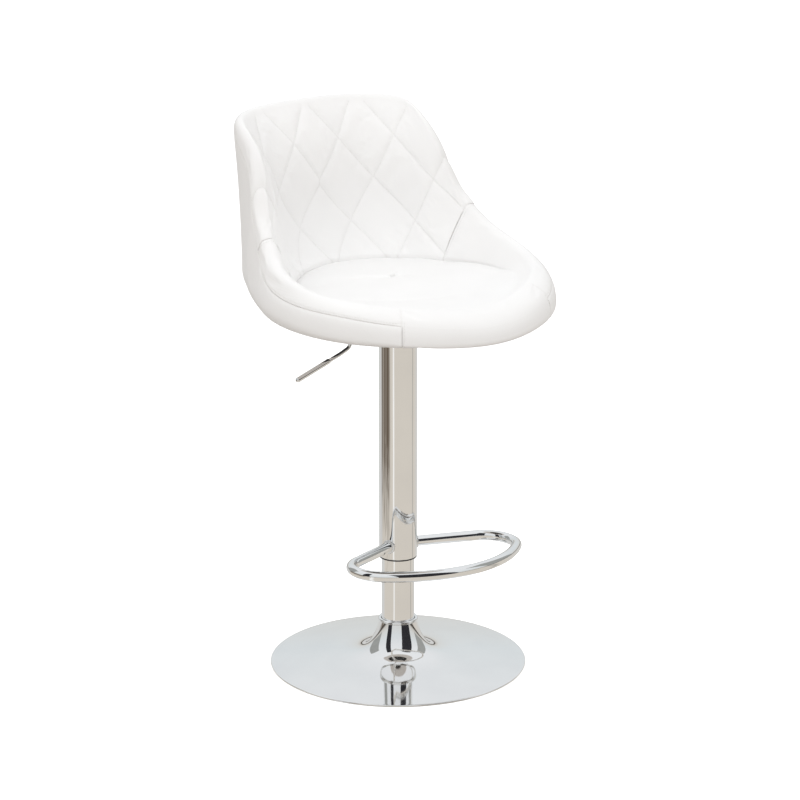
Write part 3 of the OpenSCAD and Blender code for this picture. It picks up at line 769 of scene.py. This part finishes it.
def smoothed(values, passes):
    """Neighbour averaging round the bucket."""
    for _ in range(passes):
        values = 0.25 * np.roll(values, 1, 0) + 0.5 * values + 0.25 * np.roll(values, -1, 0)
    return values


COLUMNS = np.arange(0, 360, COLUMN_STEP) - 180.0
_sections = [section(a) for a in COLUMNS]
PROFILE = smoothed(np.array([s[0] for s in _sections]), 4)
STRAIGHT = smoothed(np.array([s[1] for s in _sections]), 4)


def bucket_grid():
    """The bucket's points, with the columns beside the side seams leaning as the seams do."""
    rows = np.arange(PROFILE.shape[1])
    knots = [CREASE_ROW - 10, CREASE_ROW, CREASE_ROW + 0.75 * WALL_ROWS, WELT_ROW, WELT_ROW + 8]
    shift = np.interp(rows, knots, [0, 5, -2.5, -1, 0])
    near = np.exp(-((np.abs(COLUMNS) - SIDE_SEAM) / 24) ** 2)
    angle = COLUMNS[:, None] + np.sign(COLUMNS)[:, None] * near[:, None] * shift[None]
    r, z = (np.stack([np.interp(angle[:, k], COLUMNS, PROFILE[:, k, axis], period=360) for k in rows], -1)
            for axis in (0, 1))
    return placed(r, z, angle)


GRID = bucket_grid()


def refined(grid, factor, periodic):
    """Catmull-Rom curves through a grid's first axis, factor points for each step."""
    if periodic:
        p = np.concatenate([grid[-1:], grid, grid[:2]])
    else:
        p = np.concatenate([2 * grid[:1] - grid[1:2], grid, 2 * grid[-1:] - grid[-2:-1]])
    a, b, c, d = p[:-3], p[1:-2], p[2:-1], p[3:]
    made = []
    for t in np.arange(factor) / factor:
        made.append(0.5 * (2 * b + (c - a) * t + (2 * a - 5 * b + 4 * c - d) * t ** 2
                           + (3 * b - a - 3 * c + d) * t ** 3))
    made = np.stack(made, 1).reshape(-1, *grid.shape[1:])
    return made if periodic else np.concatenate([made, grid[-1:]])


def fine(grid, factor):
    """A grid refined round the bucket and along its sections."""
    turned = refined(grid, factor, True)
    return np.swapaxes(refined(np.swapaxes(turned, 0, 1), factor, False), 0, 1)


def unit(v):
    return v / np.maximum(np.linalg.norm(v, axis=-1, keepdims=True), 1e-12)


def grid_normals(points):
    """Outward normals of a grid that closes round its first axis."""
    turn = np.roll(points, -1, 0) - np.roll(points, 1, 0)
    return unit(np.cross(np.gradient(points, axis=1), turn))


def wave(position, period, seed):
    """Smooth repeatable noise between -1 and 1 along a length."""
    x = position / period
    return (np.sin(2 * math.pi * x + seed) + 0.7 * np.sin(2 * math.pi * 1.62 * x + 2.3 * seed)
            + 0.5 * np.sin(2 * math.pi * 2.71 * x + 4.1 * seed)) / 2.2


class Surface:
    """The bucket's surface refined by a factor, with the distances that seams and quilting are drawn by."""

    def __init__(self, factor, lift=None):
        base = GRID if lift is None else GRID + lift[..., None] * grid_normals(GRID)
        self.factor = factor
        self.points = fine(base, factor)
        n, rows = self.points.shape[:2]
        self.angle = (np.arange(n) * COLUMN_STEP / factor - 180.0)[:, None] * np.ones(rows)
        self.bearing = np.degrees(np.arctan2(self.points[..., 0], BUCKET_Y - self.points[..., 1]))
        step = np.linalg.norm(np.diff(self.points, axis=1), axis=-1)
        self.length = np.concatenate([np.zeros((n, 1)), np.cumsum(step, 1)], 1)
        self.from_crease = self.length - self.length[:, [CREASE_ROW * factor]]
        self.from_welt = self.length - self.length[:, [WELT_ROW * factor]]
        self.radius = np.hypot(self.points[..., 0], self.points[..., 1] - BUCKET_Y)
        self.sharp = smoothstep(np.abs(self.angle), 66, 98)
        self.round = np.cumsum(np.linalg.norm(np.roll(self.points, -1, 0) - self.points, axis=-1), 0)

    def side_distance(self, seam):
        """Metres round the bucket from the seams at plus and minus an angle; positive behind them."""
        return (np.abs(self.angle) - seam) * math.pi / 180 * self.radius


QUILT_HALF_WIDTH, QUILT_HALF_HEIGHT, QUILT_Z = 0.0465, 0.063, 0.7165


def quilt_distances(surface):
    """Metres from the two families of quilt lines, how strongly they show, and the lattice's coordinates."""
    turn = np.abs(surface.bearing)
    rim_r = rim_radius(turn)
    top = SEAT_Z + along("rim_rise", turn) - rim_r
    straight = refined(STRAIGHT, surface.factor, True)[:, None]
    past_top = np.maximum(surface.from_crease - straight, 0)
    height = np.minimum(surface.points[..., 2], top) + past_top

    # way round the inner face from the middle of the back, at a row of heights
    angle = np.arange(0, 181.0)
    foot, head = SEAT_Z + along("crease_rise", angle), SEAT_Z + along("rim_rise", angle) - rim_radius(angle)
    inside = along("rim_out_r", angle) - 2 * rim_radius(angle)
    levels = SEAT_Z + np.linspace(0.046, 0.281, 24)
    share = np.clip((levels[:, None] - foot) / (head - foot), 0, 1)
    radius = along("crease_r", angle) + (inside - along("crease_r", angle)) * share
    way = np.cumsum(radius[:, ::-1], 1)[:, ::-1] * math.radians(1)
    level = np.clip((height - levels[0]) / (levels[1] - levels[0]), 0, len(levels) - 1.001)
    i, j = level.astype(int), np.clip(turn.astype(int), 0, 179)
    u, v = level - i, turn - j
    across = ((1 - u) * (1 - v) * way[i, j] + u * (1 - v) * way[i + 1, j]
              + (1 - u) * v * way[i, j + 1] + u * v * way[i + 1, j + 1])
    across = np.where(surface.bearing < 0, across, -across)

    a, b = across / QUILT_HALF_WIDTH, (height - QUILT_Z) / QUILT_HALF_HEIGHT
    metre = 1 / math.hypot(1 / QUILT_HALF_WIDTH, 1 / QUILT_HALF_HEIGHT)
    first = np.abs((a - b + 1) % 2 - 1) * metre
    second = np.abs((a + b + 1) % 2 - 1) * metre
    high_back = smoothstep(turn, 124, 136)
    shows = 1 - high_back * smoothstep(surface.from_crease - straight, -0.016, 0.010)
    return first, second, shows * smoothstep(-surface.from_welt, 0.0, 0.006), a, b


def panel_mask(surface, name):
    """Faces of one panel, as a grid of quads."""
    f = surface.factor
    row = np.arange(surface.points.shape[1] - 1)[None] / f
    angle = np.abs(surface.angle[:, :-1] + 0.5 * COLUMN_STEP / f)
    behind = angle > SIDE_SEAM
    if name == "back":
        return behind & (row >= CREASE_ROW) & (row < WELT_ROW)
    if name == "cover":
        return (angle > CORNER_SEAM) & (row >= WELT_ROW)
    return (row < CREASE_ROW) | (~behind & (row < WELT_ROW)) | ((angle < CORNER_SEAM) & (row >= WELT_ROW))


def grid_quads(mask):
    n, rows = mask.shape[0], mask.shape[1] + 1
    i, j = np.nonzero(mask)
    k = (i + 1) % n
    return np.stack([i * rows + j, i * rows + j + 1, k * rows + j + 1, k * rows + j], -1)


def compact(quads):
    """Used vertices, and the quads in terms of them."""
    used, inverse = np.unique(quads, return_inverse=True)
    return used, inverse.reshape(quads.shape)


def border(quads):
    """Directed edges that belong to one quad only."""
    edges = np.concatenate([quads[:, [k, (k + 1) % 4]] for k in range(4)])
    keys = np.sort(edges, 1)
    _, first, count = np.unique(keys, axis=0, return_index=True, return_counts=True)
    return edges[first[count == 1]]


CLOTH_FRAMES = 20


def cloth_lift(name, pinned, pressure, growth, cap):
    """How far cloth held at the pinned vertices swells off the coarse bucket, in metres along its normals."""
    surface = Surface(1)
    quads = grid_quads(panel_mask(surface, name))
    used, faces = compact(quads)
    normals = grid_normals(GRID).reshape(-1, 3)
    start = GRID.reshape(-1, 3)[used]
    mesh = bpy.data.meshes.new("cloth_" + name)
    mesh.from_pydata(start.tolist(), [], faces.tolist())
    cloth = bpy.data.objects.new("cloth_" + name, mesh)
    scene.collection.objects.link(cloth)
    held = pinned.reshape(-1)[used]
    held[np.unique(border(faces))] = True
    group = cloth.vertex_groups.new(name="held")
    group.add([int(v) for v in np.nonzero(held)[0]], 1.0, "REPLACE")
    modifier = cloth.modifiers.new("cloth", "CLOTH")
    modifier.settings.effector_weights.gravity = 0
    for key, value in dict(vertex_group_mass="held", use_pressure=True, uniform_pressure_force=pressure,
                           shrink_min=-growth, quality=6, mass=0.3, tension_stiffness=12,
                           compression_stiffness=12, shear_stiffness=5, bending_stiffness=1.5,
                           air_damping=4).items():
        setattr(modifier.settings, key, value)
    modifier.collision_settings.use_collision = False
    modifier.point_cache.frame_start, modifier.point_cache.frame_end = 1, CLOTH_FRAMES
    for f in range(1, CLOTH_FRAMES + 1):
        scene.frame_set(f)
    result = cloth.evaluated_get(bpy.context.evaluated_depsgraph_get()).to_mesh()
    co = np.zeros(len(result.vertices) * 3)
    result.vertices.foreach_get("co", co)
    moved = ((co.reshape(-1, 3) - start) * normals[used]).sum(1)
    bpy.data.objects.remove(cloth)
    bpy.data.meshes.remove(mesh)
    scene.frame_set(1)
    lift = np.zeros(GRID.shape[:2]).reshape(-1)
    lift[used] = cap * np.tanh(moved / cap)
    return lift.reshape(GRID.shape[:2])


def padded_panel(name, surface, mask, lift, thickness, seam, node, centre=False):
    """A closed padded solid: the panel's face lifted along its normals, and a back inside it."""
    normals = grid_normals(surface.points)
    face_points = surface.points + lift[..., None] * normals
    normals = grid_normals(face_points)
    quads = grid_quads(mask)
    used, faces = compact(quads)
    top = face_points.reshape(-1, 3)[used]
    depth = np.broadcast_to(thickness, surface.angle.shape).reshape(-1)[used]
    bottom = top - depth[:, None] * unit(normals).reshape(-1, 3)[used]
    n = len(top)
    front = faces.tolist()
    all_faces = front + [[v + n for v in reversed(f)] for f in front]
    edges = border(faces)
    # the seam values are painted shade, kept as the seam attribute that darkens the leather's colour
    shade = seam.reshape(-1)[used]
    if centre:  # the pad's middle is closed by one small face in front and one behind
        ring = [int(v) for v in np.nonzero(used % surface.points.shape[1] == 0)[0]]
        inner = set(ring)
        edges = np.array([e for e in edges if not (e[0] in inner and e[1] in inner)])
        all_faces += [ring[::-1], [v + n for v in ring]]
    all_faces += [[b, a, a + n, b + n] for a, b in edges.tolist()]
    points = np.concatenate([top, bottom])
    made = piece(name, points, all_faces, LEATHER, "seat", 75, [node],
                 {"seam": np.concatenate([shade, shade])})
    return face_points, unit(normals)


SEAM_WIDTH, SEAM_SHADE = 0.0013, 0.18
STITCH_OFFSET = 0.0036
PANEL_THICKNESS = 0.006


def dip(distance, width):
    return np.exp(-(distance / width) ** 2)


def seam_shade(distance):
    """How strongly painted shade darkens leather beside a seam."""
    return SEAM_SHADE * dip(distance, SEAM_WIDTH)


def tuck(distance, depth=0.0007, width=0.0012):
    """How a sewn edge turns in, by metres from the seam."""
    return -depth * np.exp(-np.maximum(distance, 0) / width)


def stitched_edge(distance):
    """A sewn edge with the shallow furrow that its topstitching draws."""
    return tuck(distance) - 0.0003 * dip(distance - STITCH_OFFSET, 0.0010)


def pucker(distance, position, seed, size=0.00022, reach=0.010):
    """Gathered leather beside a seam."""
    return size * wave(position, 0.021, seed) * np.exp(-np.abs(distance) / reach)


# ---------- padded pieces ----------
def quilted_back(quality):
    """The back's inner face: cloth held along the quilting, with a groove under each line of thread."""
    coarse = Surface(1)
    first, second, shows, _, _ = quilt_distances(coarse)
    near = np.minimum(first, second)
    lift = cloth_lift("back", (near < 0.0036) & (shows > 0.5), 1.2, 0.002, 0.0022)
    inside = smoothstep(-coarse.from_welt, 0.0, 0.018) * smoothstep(coarse.from_crease, 0.0, 0.018)
    sunk = 0.0022 * inside * smoothstep(coarse.side_distance(SIDE_SEAM), 0.0, 0.03)
    surface = Surface(quality, lift - sunk)
    first, second, shows, _, _ = quilt_distances(surface)
    near = np.minimum(first, second)
    side = surface.side_distance(SIDE_SEAM)
    groove = -0.0008 * dip(near, 0.0013) * shows - 0.0006 * dip(near, 0.005) * shows
    puff = 0.0013 * (1 - np.exp(-first / 0.006)) * (1 - np.exp(-second / 0.006)) * shows
    gathers = 0.00016 * wave(first + second * 1.7, 0.016, 2.0) * dip(near, 0.006) * shows
    stitched = smoothstep(-surface.from_welt, 0.0, 0.003)
    edge = tuck(side) + stitched_edge(-surface.from_welt)
    edge = edge + pucker(surface.from_welt, surface.round, 1.0) + pucker(side, surface.length, 3.0)
    lift = (groove + puff + gathers) * stitched + edge
    # painted shade along the quilt grooves, beside the side seams and the welt, and along the crease
    shade = (0.10 * dip(near, 0.0015) * shows + seam_shade(side) + seam_shade(surface.from_welt)
             + SEAM_SHADE * dip(surface.from_crease, 0.006))
    # the lower edge runs on down behind the pad
    below = np.maximum(0.004 - surface.from_crease, 0) * (surface.from_crease >= -1e-9)
    surface.points = surface.points - below[..., None] * np.array([0, 0, 3.0])
    points, normals = padded_panel("quilted_back_pad", surface, panel_mask(surface, "back"), lift,
                                   PANEL_THICKNESS, np.clip(shade, 0, 1), "back_pad")
    return surface, points, normals


def seat_cushion(quality):
    """Pad, arms, rim roll and front nose in one sewn piece."""
    coarse = Surface(1)
    corner = np.abs(coarse.side_distance(CORNER_SEAM))
    pins = (np.abs(coarse.from_crease) < 0.004) & (coarse.sharp > 0.5)
    pins |= (corner < 0.003) & (coarse.from_welt > -0.030)
    surface = Surface(quality, cloth_lift("seat", pins, 0.3, 0.002, 0.0015))
    side = -surface.side_distance(SIDE_SEAM)
    corner = surface.side_distance(CORNER_SEAM)
    crease, at_welt = surface.from_crease, -surface.from_welt
    on_pad = crease <= 0
    strip = (np.abs(surface.angle) <= SIDE_SEAM) & ~on_pad
    outside = np.abs(surface.angle) > CORNER_SEAM
    nose = ~outside & (surface.from_welt > 0)
    valley = np.where(on_pad, -0.0022 * dip(crease, 0.004), -0.0010 * dip(crease, 0.003)) * surface.sharp
    wall_share = np.clip(crease / np.maximum(at_welt + crease, 1e-6), 0, 1)
    bolster = 0.0035 * (1 - dip(side, 0.009)) * dip(side, 0.085) * np.sin(
        math.pi * np.clip(wall_share / 0.8, 0, 1)) * strip
    dart_starts = smoothstep(surface.from_welt, -0.042, -0.026)
    dart = (-0.0010 * dip(corner, 0.0012) - 0.0003 * (dip(corner - 0.0042, 0.0010)
                                                      + dip(corner + 0.0042, 0.0010))) * dart_starts
    welt = np.where(outside, stitched_edge(at_welt), 0) + np.where(nose, tuck(-corner), 0)
    lift = valley + bolster + dart + welt + np.where(strip, tuck(side), 0)
    lift = lift + np.where(outside, pucker(at_welt, surface.round, 5.0), 0)
    lift = lift + pucker(corner, surface.length, 6.0) * dart_starts
    # painted shade along the crease, beside the corner seams, the welt and the side seams
    shade = 0.3 * dip(crease, 0.003) * surface.sharp + 0.40 * dip(corner, SEAM_WIDTH) * dart_starts
    shade = shade + np.where(outside, seam_shade(at_welt), 0) + np.where(strip, seam_shade(side), 0)
    thickness = np.where(on_pad, 0.016, PANEL_THICKNESS)
    points, normals = padded_panel("seat_cushion", surface, panel_mask(surface, "seat"), lift, thickness,
                                   np.clip(shade, 0, 1), "seat_pad", centre=True)
    return surface, points, normals


def outer_cover(quality):
    """The outside skirt, gathered at the hem that is stapled under the seat."""
    nothing_held = np.zeros(GRID.shape[:2], bool)
    surface = Surface(quality, cloth_lift("cover", nothing_held, 0.3, 0.002, 0.0012))
    corner = surface.side_distance(CORNER_SEAM)
    edge = tuck(surface.from_welt) + tuck(corner)
    edge = edge + pucker(surface.from_welt, surface.round, 7.0) + pucker(corner, surface.length, 8.0)
    hem = surface.length[:, -1:] - surface.length
    pleats = 0.0006 * wave(surface.round, 0.017, 9.0) * np.exp(-hem / 0.016) * smoothstep(hem, 0.0, 0.004)
    # painted shade beside the welt and the corner seams
    shade = seam_shade(surface.from_welt) + seam_shade(corner)
    padded_panel("outer_cover_leather", surface, panel_mask(surface, "cover"), edge + pleats,
                 PANEL_THICKNESS, np.clip(shade, 0, 1), "outer_cover")


# ---------- stitching and staples ----------
def stitches(name, lines, pitch=0.0042, length=0.0032, radius=0.00036):
    """Short threads laid along lines of (point, normal); their ends dip into the leather."""
    sides = 6
    q = 2 * math.pi * np.arange(sides) / sides
    profile = np.array([(-0.5, 0.35, -1.3), (-0.42, 0.85, -0.2), (0.0, 1.0, 0.45), (0.42, 0.85, -0.2),
                        (0.5, 0.35, -1.3)])
    all_points, all_faces = [], []
    pattern = tube_faces(len(profile), sides)
    for points, normals in lines:
        s = lengths(points)
        for at in np.arange(0.5 * pitch, s[-1] - 0.4 * pitch, pitch):
            here, up = point_at(points, s, at), unit(point_at(normals, s, at))
            way = unit(point_at(points, s, at + 0.4 * pitch) - here)
            across = unit(np.cross(up, way))
            base = len(all_points) * len(profile) * sides
            rings = [here + way * length * x + up * radius * dz + radius * r * (
                np.cos(q)[:, None] * across + np.sin(q)[:, None] * up) for x, r, dz in profile]
            all_points.append(np.concatenate(rings))
            all_faces += [[v + base for v in f] for f in pattern]
    piece(name, np.concatenate(all_points), all_faces, THREAD, "seat", 80)


def line_on(points, normals, columns, rows):
    """A line over a fine grid at fractional columns and rows."""
    n = points.shape[0]
    c0 = np.floor(columns).astype(int)
    r0 = np.clip(np.floor(rows).astype(int), 0, points.shape[1] - 2)
    u, v = (columns - c0)[:, None], (rows - r0)[:, None]

    def blend(g):
        a, b = c0 % n, (c0 + 1) % n
        return ((1 - u) * (1 - v) * g[a, r0] + u * (1 - v) * g[b, r0]
                + (1 - u) * v * g[a, r0 + 1] + u * v * g[b, r0 + 1])
    return blend(points), unit(blend(normals))


def row_at(values, target):
    """Fractional row where a rising line of values reaches the target, for each column."""
    rows = np.arange(values.shape[1])
    return np.array([np.interp(target, v, rows) for v in values])


def column_of(surface, angle):
    return (np.asarray(angle) + 180.0) * surface.factor / COLUMN_STEP


def topstitching(back, seat):
    """Lines of thread beside the welt, the corner seams and the side seams."""
    surface, points, normals = back
    angles = np.concatenate([np.arange(SIDE_SEAM + 0.5, 180, 0.5), np.arange(-180, -SIDE_SEAM - 0.4, 0.5)])
    columns = column_of(surface, angles) % len(surface.points)
    nearest = np.round(columns).astype(int) % len(surface.points)
    lines = [line_on(points, normals, columns, row_at(surface.from_welt[nearest], -STITCH_OFFSET))]
    surface, points, normals = seat

    def beside(seam, offset, rows):
        """A line down the grid, an offset in front of a seam."""
        gap = np.degrees(offset / surface.radius[int(column_of(surface, seam))])
        angle = seam - np.sign(seam) * np.interp(rows, np.arange(len(gap)), gap)
        lines.append(line_on(points, normals, column_of(surface, angle), rows))

    for sign in (-1, 1):
        corner, side = sign * CORNER_SEAM, sign * SIDE_SEAM
        columns = column_of(surface, sign * np.arange(CORNER_SEAM + 1.4, SIDE_SEAM - 0.4, 0.5))
        nearest = np.round(columns).astype(int)
        lines.append(line_on(points, normals, columns, row_at(surface.from_welt[nearest], -STITCH_OFFSET)))
        first = row_at(surface.from_welt[:1], -0.030)[0]
        beside(corner, 0.0042, np.arange(first, surface.points.shape[1] - 6, 1.0))
        first = row_at(surface.from_crease[int(column_of(surface, side))][None], 0.008)[0]
        beside(side, STITCH_OFFSET, np.arange(first, (WELT_ROW - 0.6) * surface.factor, 1.0))
    stitches("seam_topstitch", lines)


def quilt_stitching(back):
    """Thread in the quilt grooves, followed over the fine grid level by level."""
    surface, points, normals = back
    _, _, shows, a, b = quilt_distances(surface)
    turn = surface.angle[:, 0]
    order = np.argsort(np.where(turn > 0, turn - 360, turn))
    order = order[np.abs(turn[order]) > SIDE_SEAM + 1]
    lines = []
    for family, target in ((f, t) for f in (1, -1) for t in range(-8, 9, 2)):
        value = a - family * b
        path = []
        for row in range(CREASE_ROW * surface.factor + 2, WELT_ROW * surface.factor - 3):
            v = value[order, row] - target
            crossing = np.nonzero(v[:-1] * v[1:] <= 0)[0]
            if len(crossing) and shows[order[crossing[0]], row] >= 0.35:
                c = crossing[0]
                share = v[c] / (v[c] - v[c + 1]) if v[c + 1] != v[c] else 0
                path.append((order[c] + share, row))
        if len(path) > 12:
            lines.append(line_on(points, normals, *np.array(path, float).T))
    stitches("quilt_thread", lines, 0.0046, 0.0034, 0.00032)


def staples():
    """Staples that hold the cover's turned-in hem round the dust cloth."""
    count, length, wire = 40, 0.010, 0.0004
    up = np.array([0, 0, 1.0])
    bend = ((length / 2 - 0.0004, 0), (length / 2, 0.0003), (length / 2, 0.0016))
    parts = []
    for k in range(count):
        a = 2 * math.pi * (k + 0.25 * math.sin(5.1 * k)) / count
        lie = a + 0.25 * math.sin(3.7 * k)
        radius = UNDER_EDGE + 0.0075 + 0.0009 * math.sin(7.3 * k)
        middle = np.array([radius * math.sin(a), BUCKET_Y - radius * math.cos(a), SEAT_Z - 0.00025])
        way = np.array([math.cos(lie), math.sin(lie), 0])
        path = ([middle - way * out + up * rise for out, rise in bend[::-1]]
                + [middle + way * out + up * rise for out, rise in bend])
        parts.append(sweep_mesh(path, wire, np.cross(way, up), 6))
    points, faces = joined(*parts)
    piece("hem_staples", points, faces, ZINC, "seat", 50)


# ---------- assembly ----------
scene.view_settings.view_transform = "Standard"
add_camera()
add_world()
add_softbox("key_light", (1.2, -2.8, 3.0), (2.8, 2.8), 17)
add_softbox("fill_light", (-3.0, -1.6, 1.9), (2.2, 2.6), 17)
add_softbox("top_light", (-0.2, 0.6, 3.4), (2.4, 2.4), 10)
add_floor()
add_reflected_floor()
for name, angle, distance, width, low, high, colour in (
        ("dark_card_right", 6, 2.2, 1.9, 0.2, 3.6, BLACK_CARD),
        ("dark_card_left", -84, 2.2, 0.9, 0.2, 3.6, BLACK_CARD),
        ("grey_card_right", 75, 2.6, 1.6, 0.3, 2.6, GREY_CARD),
        ("grey_card_left", -150, 2.6, 1.8, 0.3, 2.6, GREY_CARD)):
    add_card(name, angle, distance, width, low, high, colour)

finish_cad_nodes()
base_disc()
tubes()
collar()
footrest()
lever()
back_quality, seat_quality = ((4, 3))
back = quilted_back(back_quality)
seat = seat_cushion(seat_quality)
outer_cover(seat_quality)
topstitching(back, seat)
quilt_stitching(back)
staples()
